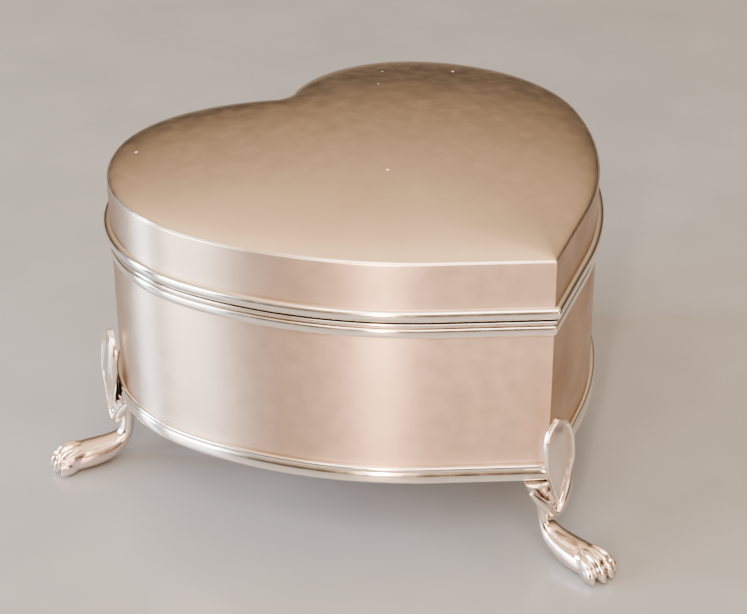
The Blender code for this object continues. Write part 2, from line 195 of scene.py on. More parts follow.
def heart(offset, nose=NOSE_RADIUS):
    """Smooth heart outline, counter-clockwise from the point, grown outwards by offset."""
    shoulder = Vector((SHOULDER_X, 0.0))
    run = Vector((math.sin(POINT_HALF_ANGLE), math.cos(POINT_HALF_ANGLE)))
    inward = Vector((-run.y, run.x))
    corner = Vector((0.0, -POINT_REACH)) + run * POINT_STRAIGHT
    to_corner = corner - shoulder
    flank_radius = ((LOBE_RADIUS ** 2 - to_corner.length_squared)
                    / (2 * (inward.dot(to_corner) + LOBE_RADIUS)))
    flank = corner + flank_radius * inward
    tangent = shoulder - flank
    flank_start = math.atan2(-inward.y, -inward.x)
    flank_end = math.atan2(tangent.y, tangent.x)
    crown_end = math.atan2(CLEFT.y - CROWN.y, -CROWN.x)
    apex_y = -POINT_REACH - offset / math.sin(POINT_HALF_ANGLE)
    nose_centre = Vector((0.0, apex_y + nose / math.sin(POINT_HALF_ANGLE)))
    points = [nose_centre + Vector((0.0, -nose))]
    points += arc(nose_centre, nose, -math.pi / 2, flank_start, NOSE_STEPS)
    start = points[-1]
    end = corner - inward * offset
    points += [start.lerp(end, i / STRAIGHT_STEPS) for i in range(1, STRAIGHT_STEPS + 1)]
    points += arc(flank, flank_radius + offset, flank_start, flank_end, FLANK_STEPS)
    points += arc(shoulder, LOBE_RADIUS + offset, flank_end, LOBE_TURN, SHOULDER_STEPS)
    points += arc(CROWN, CROWN_RADIUS + offset, LOBE_TURN, crown_end, CROWN_STEPS)
    points += arc(CLEFT, CLEFT_RADIUS - offset, crown_end - math.pi, -math.pi / 2, CLEFT_STEPS)
    points[-1].x = 0.0
    mirrored = [Vector((-p.x, p.y)) for p in reversed(points[1:-1])]
    return [Vector((p.x, p.y + SHOULDER_Y)) for p in points + mirrored]


def loop_mesh(name, loops, closed=False, start_cap=None, end_cap=None, sharp=40):
    """Mesh of equal loops joined by quads. A cap is None, "face" or a point for a fan."""
    verts = [tuple(p) for loop in loops for p in loop]
    count = len(loops[0])
    faces = []
    pairs = list(zip(range(len(loops)), range(1, len(loops))))
    if closed:
        pairs.append((len(loops) - 1, 0))
    for low, high in pairs:
        for i in range(count):
            j = (i + 1) % count
            faces.append((low * count + i, low * count + j, high * count + j, high * count + i))
    for cap, base in ((start_cap, 0), (end_cap, (len(loops) - 1) * count)):
        if cap is None:
            continue
        if isinstance(cap, str):
            faces.append(tuple(range(base, base + count)))
            continue
        verts.append(tuple(cap))
        hub = len(verts) - 1
        faces += [(base + i, base + (i + 1) % count, hub) for i in range(count)]
    mesh = bpy.data.meshes.new(name)
    mesh.from_pydata(verts, [], faces)
    return tidy(name, mesh, sharp)


def tidy(name, mesh, sharp=40):
    """Outward faces, smooth shading and a scene object for a mesh."""
    bm = bmesh.new()
    bm.from_mesh(mesh)
    bmesh.ops.recalc_face_normals(bm, faces=bm.faces)
    bm.to_mesh(mesh)
    bm.free()
    mesh.shade_smooth()
    mesh.set_sharp_from_angle(angle=math.radians(sharp))
    made = bpy.data.objects.new(name, mesh)
    bpy.context.scene.collection.objects.link(made)
    return made


def flat_ring(offset, z, nose=NOSE_RADIUS):
    """The heart's outline, grown by offset, at one height."""
    return [(p.x, p.y, z) for p in heart(offset, nose)]


def sweep(name, profile, nose=NOSE_RADIUS):
    """Sweeps a closed profile of (offset, height) points round the heart."""
    return loop_mesh(name, [flat_ring(offset, z, nose) for offset, z in profile], closed=True)


def rounded_band(outer, inner, low_z, high_z, radius, steps=4):
    """Rectangular profile with rounded corners."""
    corners = ((outer - radius, low_z + radius, -90), (outer - radius, high_z - radius, 0),
               (inner + radius, high_z - radius, 90), (inner + radius, low_z + radius, 180))
    profile = []
    for x, z, start in corners:
        for i in range(steps + 1):
            a = math.radians(start + 90 * i / steps)
            profile.append((x + radius * math.cos(a), z + radius * math.sin(a)))
    return profile


def half_round(projection, low_z, high_z, steps=18):
    """Profile of a half-round wire soldered to the outer wall face."""
    middle, half = (low_z + high_z) / 2, (high_z - low_z) / 2
    profile = [(TOUCH, low_z)]
    for i in range(steps + 1):
        a = -math.pi / 2 + math.pi * i / steps
        out = math.cos(a) ** HALF_ROUND_POWER
        profile.append((TOUCH + (projection - TOUCH) * out, middle + half * math.sin(a)))
    profile.append((TOUCH, high_z))
    return profile


# ---------------------------------------------------------------- materials

SILVER_DUST = (0.95, 0.92, 0.86)
DUST_DENSITY = 190.0          # cells of the speck pattern to a metre
DUST_SHARE = 0.80             # cells whose random value lies under this hold no speck
DUST_SIZE = 0.085
DUST_SLOPE = 0.7              # specks lie only on faces whose normal rises more than this
# Painted shade: ambient occlusion darkens the colour towards a dark brown in corners between soldered
# pieces.
CREVICE_SHADE_REACH = 0.0012
CREVICE_SHADE_SHARE = 0.85          # how much of the colour turns to painted shade in the deepest corner
CREVICE_SHADE_COLOUR = (0.16, 0.10, 0.07)
SHEET_WAVE = 0.000010         # heights of the bumps
CAST_WAVE = 0.000004
SCRATCH_DEPTH = 0.000003
WALL_BRUSHING = 0.92          # how far the walls' brushed finish stretches a highlight
UPRIGHT_STREAKS = 0.25        # a quarter turn, so highlights on a wall stretch up and down
VELVET_DEEP = (0.018, 0.026, 0.105)
VELVET_CRUSHED = (0.040, 0.055, 0.190)
VELVET_TIP = (0.075, 0.095, 0.290)
VELVET_SHEEN = (0.55, 0.62, 1.0)
PILE_DEPTH = 0.00012
CARD_DARK = (0.42, 0.33, 0.23)
CARD_PALE = (0.52, 0.43, 0.32)
CARD_DEPTH = 0.00008
WIRE_DARK = (0.52, 0.50, 0.47)
WIRE_PALE = (0.66, 0.64, 0.60)
WIRE_DEPTH = 0.00001


def noise(tree, coords, scale, stretch=(1, 1, 1), detail=3.0, turn=(0, 0, 0)):
    """Noise in object space, stretched and turned."""
    mapping = tree.nodes.new("ShaderNodeMapping")
    mapping.inputs["Scale"].default_value = stretch
    mapping.inputs["Rotation"].default_value = turn
    tree.links.new(coords, mapping.inputs["Vector"])
    made = tree.nodes.new("ShaderNodeTexNoise")
    made.inputs["Scale"].default_value = scale
    made.inputs["Detail"].default_value = detail
    tree.links.new(mapping.outputs["Vector"], made.inputs["Vector"])
    return made.outputs["Fac"]


def span(tree, value, low, high, to_low, to_high):
    """Maps a range of values to another, clamped."""
    made = tree.nodes.new("ShaderNodeMapRange")
    for key, number in (("From Min", low), ("From Max", high), ("To Min", to_low), ("To Max", to_high)):
        made.inputs[key].default_value = number
    tree.links.new(value, made.inputs["Value"])
    return made.outputs["Result"]


def contrast(tree, value, low=0.3, high=0.7):
    """Stretches the middle of a noise to the range 0 to 1."""
    return span(tree, value, low, high, 0.0, 1.0)


def math_node(tree, operation, a, b):
    """Sum, product or other operation of two sockets or numbers."""
    made = tree.nodes.new("ShaderNodeMath")
    made.operation = operation
    for socket, value in zip(made.inputs, (a, b)):
        if isinstance(value, (int, float)):
            socket.default_value = value
        else:
            tree.links.new(value, socket)
    return made.outputs[0]


def blend_colour(tree, factor, a, b):
    """Mix of two colours, each a socket or a tuple."""
    made = tree.nodes.new("ShaderNodeMix")
    made.data_type = "RGBA"
    sockets = [s for s in made.inputs if s.type == "RGBA"]
    for socket, value in zip(sockets, (a, b)):
        if isinstance(value, tuple):
            socket.default_value = (*value, 1.0)
        else:
            tree.links.new(value, socket)
    tree.links.new(factor, made.inputs[0])
    return [s for s in made.outputs if s.type == "RGBA"][0]


def new_material(name):
    """New material, its node tree, its shader and its object-space coordinates."""
    made = bpy.data.materials.new(name)
    made.use_nodes = True
    tree = made.node_tree
    shader = tree.nodes["Principled BSDF"]
    coords = tree.nodes.new("ShaderNodeTexCoord").outputs["Object"]
    return made, tree, shader, coords


def bump(tree, shader, height, distance, strength=1.0):
    """Bump of one height field as the shader's normal."""
    made = tree.nodes.new("ShaderNodeBump")
    made.inputs["Distance"].default_value = distance
    made.inputs["Strength"].default_value = strength
    tree.links.new(height, made.inputs["Height"])
    tree.links.new(made.outputs["Normal"], shader.inputs["Normal"])


def scratch_height(tree, coords, upright):
    """Fine polishing scratches that run round upright walls, or every way on other faces."""
    if upright:
        lines = noise(tree, coords, 1500.0, stretch=(0.03, 0.03, 1.0), detail=3.0)
        cross = noise(tree, coords, 900.0, stretch=(1.0, 1.0, 0.05), detail=2.0)
        return math_node(tree, "ADD", lines, math_node(tree, "MULTIPLY", cross, 0.35))
    fine = [noise(tree, coords, scale, stretch=stretch, detail=2.0, turn=(0.0, 0.0, turn))
            for scale, stretch, turn in ((900.0, (1.0, 0.05, 1.0), 0.5),
                                         (900.0, (0.05, 1.0, 1.0), 0.9),
                                         (1300.0, (1.0, 0.05, 1.0), -0.7))]
    return math_node(tree, "ADD", math_node(tree, "ADD", fine[0], fine[1]), fine[2])


def dust_specks(tree, coords):
    """1 on sparse specks of dust that lie on faces that look up when the lid is closed, else 0."""
    cells = tree.nodes.new("ShaderNodeTexVoronoi")
    cells.inputs["Scale"].default_value = DUST_DENSITY
    tree.links.new(coords, cells.inputs["Vector"])
    pick = tree.nodes.new("ShaderNodeSeparateColor")
    tree.links.new(cells.outputs["Color"], pick.inputs["Color"])
    size = span(tree, pick.outputs["Red"], DUST_SHARE, 1.0, 0.0, DUST_SIZE)
    speck = math_node(tree, "LESS_THAN", cells.outputs["Distance"], size)
    facing = tree.nodes.new("ShaderNodeTexCoord")
    up = tree.nodes.new("ShaderNodeSeparateXYZ")
    tree.links.new(facing.outputs["Normal"], up.inputs["Vector"])
    level = math_node(tree, "GREATER_THAN", up.outputs["Z"], DUST_SLOPE)
    return math_node(tree, "MULTIPLY", speck, level)


def crevice_painted_shade(tree):
    """Share of painted shade, found by ambient occlusion: most in a corner between soldered pieces, none on
    open faces.
    """
    cover = tree.nodes.new("ShaderNodeAmbientOcclusion")
    cover.samples = 8
    cover.inputs["Distance"].default_value = CREVICE_SHADE_REACH
    return span(tree, cover.outputs["AO"], 0.30, 0.62, CREVICE_SHADE_SHARE, 0.0)


def brush_round(tree, shader):
    """Brushed finish that runs round the box, so highlights on its walls stretch upright."""
    shader.inputs["Anisotropic"].default_value = WALL_BRUSHING
    shader.inputs["Anisotropic Rotation"].default_value = UPRIGHT_STREAKS
    grain = tree.nodes.new("ShaderNodeTangent")
    grain.direction_type = "RADIAL"
    grain.axis = "Z"
    tree.links.new(grain.outputs["Tangent"], shader.inputs["Tangent"])


def silver(name, tone, tarnish, smooth, rough, upright=False, dust=False, wave=SHEET_WAVE):
    """Hand-polished silver: cloudy polish, slightly uneven sheet, fine scratches and painted shade in its
    crevices.
    """
    made, tree, shader, coords = new_material(name)
    cloud = noise(tree, coords, 55.0, detail=4.0)
    mottle = noise(tree, coords, 380.0, detail=3.0)
    colour = blend_colour(tree, contrast(tree, cloud, 0.35, 0.70), tone, tarnish)
    polish = math_node(tree, "ADD", math_node(tree, "MULTIPLY", cloud, 0.5),
                       math_node(tree, "MULTIPLY", mottle, 0.5))
    roughness = span(tree, polish, 0.38, 0.62, smooth, rough)
    if dust:
        speck = dust_specks(tree, coords)
        colour = blend_colour(tree, speck, colour, SILVER_DUST)
        roughness = math_node(tree, "ADD", roughness, math_node(tree, "MULTIPLY", speck, 0.5))
        metal = math_node(tree, "SUBTRACT", 1.0, math_node(tree, "MULTIPLY", speck, 0.9))
        tree.links.new(metal, shader.inputs["Metallic"])
    else:
        shader.inputs["Metallic"].default_value = 1.0
    if upright:
        brush_round(tree, shader)
    # Painted shade: corners between soldered pieces darken towards a dark brown.
    colour = blend_colour(tree, crevice_painted_shade(tree), colour, CREVICE_SHADE_COLOUR)
    tree.links.new(colour, shader.inputs["Base Color"])
    tree.links.new(roughness, shader.inputs["Roughness"])
    waves = noise(tree, coords, 95.0, detail=1.0)
    sheet = tree.nodes.new("ShaderNodeBump")
    sheet.inputs["Distance"].default_value = wave
    tree.links.new(waves, sheet.inputs["Height"])
    fine = tree.nodes.new("ShaderNodeBump")
    fine.inputs["Distance"].default_value = SCRATCH_DEPTH
    fine.inputs["Strength"].default_value = 0.6
    tree.links.new(scratch_height(tree, coords, upright), fine.inputs["Height"])
    tree.links.new(sheet.outputs["Normal"], fine.inputs["Normal"])
    tree.links.new(fine.outputs["Normal"], shader.inputs["Normal"])
    return made


def velvet_material():
    """Short-pile velvet with crushed, lighter patches."""
    made, tree, shader, coords = new_material("velvet")
    crush = noise(tree, coords, 130.0, detail=3.0)
    pile = noise(tree, coords, 5200.0, detail=2.0)
    base = blend_colour(tree, contrast(tree, crush, 0.35, 0.70), VELVET_DEEP, VELVET_CRUSHED)
    colour = blend_colour(tree, span(tree, pile, 0.3, 0.7, 0.0, 0.35), base, VELVET_TIP)
    tree.links.new(colour, shader.inputs["Base Color"])
    shader.inputs["Roughness"].default_value = 0.95
    shader.inputs["Sheen Weight"].default_value = 0.9
    shader.inputs["Sheen Roughness"].default_value = 0.35
    shader.inputs["Sheen Tint"].default_value = (*VELVET_SHEEN, 1.0)
    bump(tree, shader, pile, PILE_DEPTH, 0.7)
    return made


def card_material():
    """Grey-brown pressed card with fibres."""
    made, tree, shader, coords = new_material("card")
    fibre = noise(tree, coords, 900.0, stretch=(1.0, 0.3, 1.0), detail=4.0)
    colour = blend_colour(tree, contrast(tree, fibre), CARD_DARK, CARD_PALE)
    tree.links.new(colour, shader.inputs["Base Color"])
    shader.inputs["Roughness"].default_value = 0.9
    bump(tree, shader, fibre, CARD_DEPTH, 0.5)
    return made


def steel_material():
    """Drawn wire with lines along its length."""
    made, tree, shader, coords = new_material("hinge_wire")
    lines = noise(tree, coords, 2600.0, stretch=(0.04, 1.0, 1.0), detail=2.0)
    colour = blend_colour(tree, contrast(tree, lines), WIRE_DARK, WIRE_PALE)
    tree.links.new(colour, shader.inputs["Base Color"])
    shader.inputs["Metallic"].default_value = 1.0
    tree.links.new(span(tree, lines, 0.3, 0.7, 0.24, 0.42), shader.inputs["Roughness"])
    bump(tree, shader, lines, WIRE_DEPTH, 0.5)
    return made


# The walls' silver is a darker copy of the same metal: painted shade standing in for the darker reflections
# on the walls. Its brushing is the walls' real finish.
SILVER_WALL_SHADED = silver("silver_wall_shaded", (0.78, 0.59, 0.46), (0.63, 0.46, 0.35),
                     smooth=0.38, rough=0.50, upright=True)
SILVER_LID = silver("silver_lid", (0.93, 0.80, 0.67), (0.84, 0.69, 0.56),
                    smooth=0.20, rough=0.28, dust=True)
SILVER_PLAIN = silver("silver_plain", (0.92, 0.85, 0.78), (0.85, 0.76, 0.68), smooth=0.18, rough=0.28)
SILVER_TRIM = silver("silver_trim", (0.96, 0.90, 0.83), (0.90, 0.81, 0.72),
                     smooth=0.10, rough=0.18, wave=CAST_WAVE)
SILVER_CAST = silver("silver_cast", (0.95, 0.86, 0.79), (0.88, 0.72, 0.62),
                     smooth=0.12, rough=0.22, wave=CAST_WAVE)
VELVET = velvet_material()
CARD = card_material()
STEEL = steel_material()


def place(piece, finish, slot, body, *nodes):
    """Gives a piece its material, its body and the CAD nodes it stands for."""
    piece.data.materials.clear()
    piece.data.materials.append(finish)
    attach(piece, body)
    if nodes:
        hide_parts(*nodes)
    return piece


# ---------------------------------------------------------------- lid

def dome_rings(inset, base_z, rise, steps=DOME_RINGS):
    """Rings of the dome from just inside its edge to its centre, and its top point."""
    centre = Vector((0.0, DOME_CENTRE_Y + SHOULDER_Y))
    outline = heart(-inset)
    mean = sum((p - centre).length for p in outline) / len(outline)
    rings = []
    for k in range(1, steps):
        share = math.cos(math.pi / 2 * k / steps)
        blend = share ** DOME_BLEND
        edge = heart(-inset, NOSE_RADIUS + min(DOME_NOSE, DOME_NOSE_GROWTH * (1 - share)))
        z = base_z + rise * (1 - share ** 2) ** DOME_POWER
        ring = []
        for p in edge:
            arm = p - centre
            spot = centre + arm.normalized() * share * ((1 - blend) * mean + blend * arm.length)
            ring.append((spot.x, spot.y, z))
        rings.append(ring)
    return rings, (centre.x, centre.y, base_z + rise)


def lid_shell():
    """Wall and dome of the lid as one soldered and filed shell."""
    foot_z = bead_low[2] + LAP
    climb = LID_EDGE_Z - EDGE_ROUND - foot_z
    outer = [flat_ring(0.0, foot_z + climb * i / LID_WALL_STEPS) for i in range(LID_WALL_STEPS + 1)]
    for i in range(1, EDGE_STEPS + 1):
        a = math.pi / 2 * i / EDGE_STEPS * EDGE_TURN
        inset = EDGE_ROUND * (1 - math.cos(a))
        outer.append(flat_ring(-inset, LID_EDGE_Z - EDGE_ROUND * (1 - math.sin(a))))
    lift = EDGE_ROUND * 0.1
    rings, top = dome_rings(EDGE_ROUND * 0.6, LID_EDGE_Z - lift, DOME_RISE + lift)
    outer += rings
    ceiling = LID_EDGE_Z - DOME_THICKNESS
    under, under_top = dome_rings(WALL, ceiling, DOME_RISE, DOME_UNDER_RINGS)
    inner = [flat_ring(-WALL, foot_z), flat_ring(-WALL, ceiling)] + under
    outside = loop_mesh("lid_outside", outer, end_cap=top)
    inside = loop_mesh("lid_inside", inner, end_cap=under_top)
    return join_shell("lid_shell", outside, inside, len(outer[0]))


def join_shell(name, outside, inside, count):
    """Joins an outer and an inner skin along their first rings."""
    bm = bmesh.new()
    bm.from_mesh(outside.data)
    bm.from_mesh(inside.data)
    bm.verts.ensure_lookup_table()
    start = len(outside.data.vertices)
    for i in range(count):
        j = (i + 1) % count
        bm.faces.new((bm.verts[i], bm.verts[j], bm.verts[start + j], bm.verts[start + i]))
    mesh = bpy.data.meshes.new(name)
    bm.to_mesh(mesh)
    bm.free()
    for skin in (outside, inside):
        bpy.data.objects.remove(skin, do_unlink=True)
    return tidy(name, mesh)


def finish_lid(shell):
    """Gives the lid's upright faces the wall's brushed finish with its darker painted-shade tone, and its
    dome the lid's.
    """
    place(shell, SILVER_LID, "silver", "lid", "lid_top", "lid_wall")
    shell.data.materials.append(SILVER_WALL_SHADED)
    for face in shell.data.polygons:
        if abs(face.normal.z) < UPRIGHT_LIMIT:
            face.material_index = 1


finish_lid(lid_shell())
place(sweep("lid_bead_wire", half_round(BEAD_PROJECTION, bead_low[2], bead_high[2]), nose=BEAD_NOSE),
      SILVER_TRIM, "silver", "lid", "lid_bead")


# ---------------------------------------------------------------- body

def moulding_profile():
    """Base moulding: rounded lip over a plain band."""
    low, high, outer = BASE_Z, MOULDING_TOP_Z, MOULDING_PROJECTION
    profile = [(-MOULDING_INSET, low + MOULDING_BEVEL), (-MOULDING_INSET + MOULDING_BEVEL, low)]
    for i in range(7):
        a = math.radians(-90 + 90 * i / 6)
        profile.append((outer - MOULDING_HEEL * (1 - math.cos(a)), low + MOULDING_HEEL * (1 + math.sin(a))))
    lip = high - 2 * LIP_RADIUS
    profile.append((outer - MOULDING_NECK, lip - MOULDING_HEEL))
    for i in range(9):
        a = math.radians(-70 + 160 * i / 8)
        profile.append((outer - LIP_RADIUS * (1 - math.cos(a)), lip + LIP_RADIUS * (1 + math.sin(a))))
    profile += [(TOUCH, high), (-WALL, high), (-MOULDING_INSET, high - MOULDING_BEVEL)]
    return profile


def body_pieces():
    """Wall, moulding, reeds, collar and base sheet."""
    wall = rounded_band(0.0, -WALL, MOULDING_TOP_Z - LAP, RIM_Z - TOUCH, WALL_EDGE)
    # Painted shade: the wall takes the darker copy of the silver.
    place(sweep("body_wall_sheet", wall), SILVER_WALL_SHADED, "silver", "box", "body_wall")
    place(sweep("base_moulding_wire", moulding_profile(), nose=MOULDING_NOSE),
          SILVER_TRIM, "silver", "box", "base_moulding")
    for name in ("rim_reed_lower", "rim_reed_upper"):
        low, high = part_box(name)
        reed = half_round(REED_PROJECTION, low[2], high[2], 12)
        place(sweep(name + "_wire", reed, nose=REED_NOSE), SILVER_TRIM, "silver", "box", name)
    low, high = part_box("rim_collar")
    collar = rounded_band(-COLLAR_FACE, -COLLAR_FACE - COLLAR_THICKNESS, low[2], high[2], COLLAR_EDGE)
    place(sweep("rim_collar_strip", collar), SILVER_PLAIN, "silver", "box", "rim_collar")
    low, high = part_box("base_plate")
    plate = [flat_ring(-MOULDING_INSET, low[2]), flat_ring(-MOULDING_INSET, high[2])]
    place(loop_mesh("base_plate_sheet", plate, start_cap="face", end_cap="face"),
          SILVER_PLAIN, "silver", "box", "base_plate")


body_pieces()


# ---------------------------------------------------------------- hinge

def knuckle(name, low_x, high_x, strap_side):
    """Tube round the pin with a strap that reaches back to its plate."""
    bore = PIN_RADIUS + PIN_CLEARANCE
    reach = KNUCKLE_RADIUS + STRAP_REACH
    strap_low = KNUCKLE_RADIUS - STRAP_THICKNESS
    bevel = KNUCKLE_BEVEL

    def radius(a):
        c, s = math.cos(a), math.sin(a) * strap_side
        if c >= 0 or s <= 0 or strap_low / s * -c > reach:
            return KNUCKLE_RADIUS
        return max(KNUCKLE_RADIUS, min(KNUCKLE_RADIUS / s, reach / -c))

    loops = []
    stations = ((low_x, bore + bevel, -bevel), (low_x + bevel, bore, None), (high_x - bevel, bore, None),
                (high_x, bore + bevel, -bevel), (high_x, None, -bevel), (high_x - bevel, None, 0.0),
                (low_x + bevel, None, 0.0), (low_x, None, -bevel))
    for x, inner, shrink in stations:
        ring = []
        for i in range(KNUCKLE_STEPS):
            a = 2 * math.pi * i / KNUCKLE_STEPS
            r = inner if inner is not None else radius(a) + shrink
            ring.append((x, HINGE.y + r * math.cos(a), HINGE.z + r * math.sin(a)))
        loops.append(ring)
    return loop_mesh(name, loops, closed=True)


def pin():
    """Wire through the knuckles with a domed rivet head at each end."""
    low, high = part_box("hinge_pin")
    head = (high[2] - low[2]) / 2
    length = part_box("body_knuckle_left")[0][0] - low[0]
    profile = [(low[0], 0.0)]
    for i in range(1, PIN_HEAD_STEPS + 1):
        a = math.pi / 2 * i / PIN_HEAD_STEPS
        profile.append((low[0] + length * 0.6 * (1 - math.cos(a)), head * math.sin(a)))
    profile.append((low[0] + length * 0.95, head))
    profile.append((low[0] + length * 0.97, PIN_RADIUS))
    profile += [(-x, r) for x, r in reversed(profile)]
    loops = []
    for x, r in profile[1:-1]:
        loops.append([(x, HINGE.y + r * math.cos(a), HINGE.z + r * math.sin(a))
                      for a in (2 * math.pi * i / KNUCKLE_STEPS for i in range(KNUCKLE_STEPS))])
    return loop_mesh("hinge_pin_wire", loops, start_cap=(low[0], HINGE.y, HINGE.z),
                     end_cap=(high[0], HINGE.y, HINGE.z))


def bevelled_copy(name, source, width, segments=3):
    """Copy of a CAD plate with its edges rounded."""
    mesh = frame["nodes"][source].data.copy()
    mesh.name = name
    bm = bmesh.new()
    bm.from_mesh(mesh)
    bmesh.ops.remove_doubles(bm, verts=bm.verts, dist=0.000002)
    bmesh.ops.dissolve_limit(bm, angle_limit=math.radians(1), verts=bm.verts, edges=bm.edges)
    sharp = [e for e in bm.edges if len(e.link_faces) == 2 and e.calc_face_angle() > math.radians(35)]
    bmesh.ops.bevel(bm, geom=sharp, offset=width, segments=segments, affect="EDGES", profile=0.5,
                    clamp_overlap=True)
    bm.to_mesh(mesh)
    bm.free()
    return tidy(name, mesh, 35)


def hinge():
    """Five knuckles, the pin and a plate on each half."""
    for side in ("body_knuckle_left", "body_knuckle_centre", "body_knuckle_right",
                 "lid_knuckle_left", "lid_knuckle_right"):
        low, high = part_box(side)
        on_lid = side.startswith("lid")
        piece = knuckle(side + "_tube", low[0], high[0], 1 if on_lid else -1)
        place(piece, SILVER_TRIM, "silver", "lid" if on_lid else "box", side)
    place(pin(), STEEL, "hinge_steel", "box", "hinge_pin")
    for name, body in (("body_hinge_plate", "box"), ("lid_hinge_plate", "lid")):
        sheet = bevelled_copy(name + "_sheet", name, PLATE_EDGE)
        place(sheet, SILVER_PLAIN, "silver", body, name)


hinge()


# ---------------------------------------------------------------- feet

# Sections from hip to toe: share of reach, share of lift, half depth, half width, lean
FOOT_SECTIONS = (
    (-0.06, 0.00, 0.0026, 0.0041, 0),
    (-0.05, 0.14, 0.0021, 0.0031, 0),
    (-0.03, 0.28, 0.0016, 0.0022, 0),
    (-0.02, 0.42, 0.0013, 0.0017, 4),
    (0.00, 0.56, 0.0013, 0.0016, 16),
    (0.07, 0.68, 0.0015, 0.0019, 38),
    (0.19, 0.76, 0.0019, 0.0024, 60),
    (0.36, 0.81, 0.0022, 0.0028, 80),
    (0.54, 0.83, 0.0023, 0.0030, 88),
    (0.70, 0.85, 0.0021, 0.0029, 92),
    (0.84, 0.88, 0.0015, 0.0026, 96),
)
# Toes: place across, reach of the tip, spread in degrees, size
TOES = ((-0.0026, 0.875, -13, 0.92), (-0.0009, 0.93, -4, 1.0), (0.0009, 0.93, 4, 1.0),
        (0.0026, 0.875, 13, 0.92))
# Blobs of one toe: place ahead of its tip, height over the sole, radii across, along and up
TOE_BLOBS = ((-0.0036, 0.00262, (0.00094, 0.00360, 0.00190)),
             (-0.0010, 0.00168, (0.00090, 0.00190, 0.00156)),
             (0.0002, 0.00095, (0.00050, 0.00080, 0.00075)))
# Collar wing: where it leaves the ankle, how far it sweeps, and its thickness
WING_START = (0.0002, -0.0021, -0.0060)
WING_SWEEP = (0.0044, 0.0014, 0.0053)
WING_RADIUS = 0.00052
WING_SWELL = 0.00034
WING_STEPS = 14
BRACKET_PLACE = (0.0, -0.0013, -0.0030)
BRACKET_RADII = (0.0014, 0.0009, 0.0024)
FOOT_RING = 36
FOOT_FILL = 7
FOOT_VOXEL = 0.00015
FOOT_SMOOTHING = 5
LEAF_ROWS = 72
LEAF_ACROSS = 36
PAW_SHARP = 60                # degrees
LEAF_SHARP = 50


def curve_through(rows, share):
    """Smooth value of each column of a table at a share of its length."""
    place_at = share * (len(rows) - 1)
    i = min(int(place_at), len(rows) - 2)
    t = place_at - i
    before, here = rows[max(i - 1, 0)], rows[i]
    after, beyond = rows[i + 1], rows[min(i + 2, len(rows) - 1)]
    out = []
    for a, b, c, d in zip(before, here, after, beyond):
        out.append(0.5 * (2 * b + (c - a) * t + (2 * a - 5 * b + 4 * c - d) * t * t
                          + (3 * b - a - 3 * c + d) * t ** 3))
    return out


def add_loft(bm, loops):
    """Adds a closed loft of equal loops to a bmesh."""
    rings = [[bm.verts.new(p) for p in loop] for loop in loops]
    for low, high in zip(rings, rings[1:]):
        for i in range(len(low)):
            j = (i + 1) % len(low)
            bm.faces.new((low[i], low[j], high[j], high[i]))
    bm.faces.new(list(reversed(rings[0])))
    bm.faces.new(rings[-1])


def add_blob(bm, centre, radii, turn):
    """Adds an ellipsoid: radii across, along the reach, and up; turn is about the vertical."""
    matrix = (Matrix.Translation(centre) @ Matrix.Rotation(turn, 4, "Z")
              @ Matrix.Diagonal((*radii, 1.0)))
    bmesh.ops.create_icosphere(bm, subdivisions=3, radius=1.0, matrix=matrix)


def add_toe(bm, across, reach, spread, size, lift):
    """Long ridge, pad and claw of one toe, splayed about the paw's middle."""
    turn = math.radians(spread)
    ahead = Vector((math.sin(turn), -math.cos(turn), 0.0))
    tip = Vector((across, -reach * FOOT_REACH, -lift))
    up = Vector((0.0, 0.0, 1.0))
    for along, height, radii in TOE_BLOBS:
        add_blob(bm, tip + ahead * along * size + up * height * size,
                 tuple(r * size for r in radii), turn)


def add_wing(bm, side):
    """Pointed collar leaf that sweeps from the ankle up and back under the moulding."""
    for k in range(WING_STEPS + 1):
        t = k / WING_STEPS
        spot = Vector((side * (WING_START[0] + WING_SWEEP[0] * t),
                       WING_START[1] + WING_SWEEP[1] * t * t,
                       WING_START[2] + WING_SWEEP[2] * t ** 1.15))
        radius = WING_RADIUS + WING_SWELL * math.sin(math.pi * t)
        add_blob(bm, spot, (radius, radius * 0.9, radius), 0.0)


def foot_blank(lift):
    """Overlapping closed shapes that the casting is made of, in the foot's own frame."""
    bm = bmesh.new()
    loops = []
    total = (len(FOOT_SECTIONS) - 1) * FOOT_FILL
    for k in range(total + 1):
        reach, drop, depth, width, lean = curve_through(FOOT_SECTIONS, k / total)
        along = Vector((0.0, math.cos(math.radians(lean)), -math.sin(math.radians(lean))))
        middle = Vector((0.0, -reach * FOOT_REACH, -FOOT_GAP - drop * (lift - FOOT_GAP)))
        loops.append([middle + Vector((width * math.cos(a), 0, 0)) - along * depth * math.sin(a)
                      for a in (2 * math.pi * i / FOOT_RING for i in range(FOOT_RING))])
    add_loft(bm, [[p + Vector((0.0, 0.0, FOOT_GAP * 2)) for p in loops[0]]] + loops)
    add_blob(bm, Vector(BRACKET_PLACE), BRACKET_RADII, 0.0)
    for toe in TOES:
        add_toe(bm, *toe, lift)
    for side in (-1, 1):
        add_wing(bm, side)
    return bm


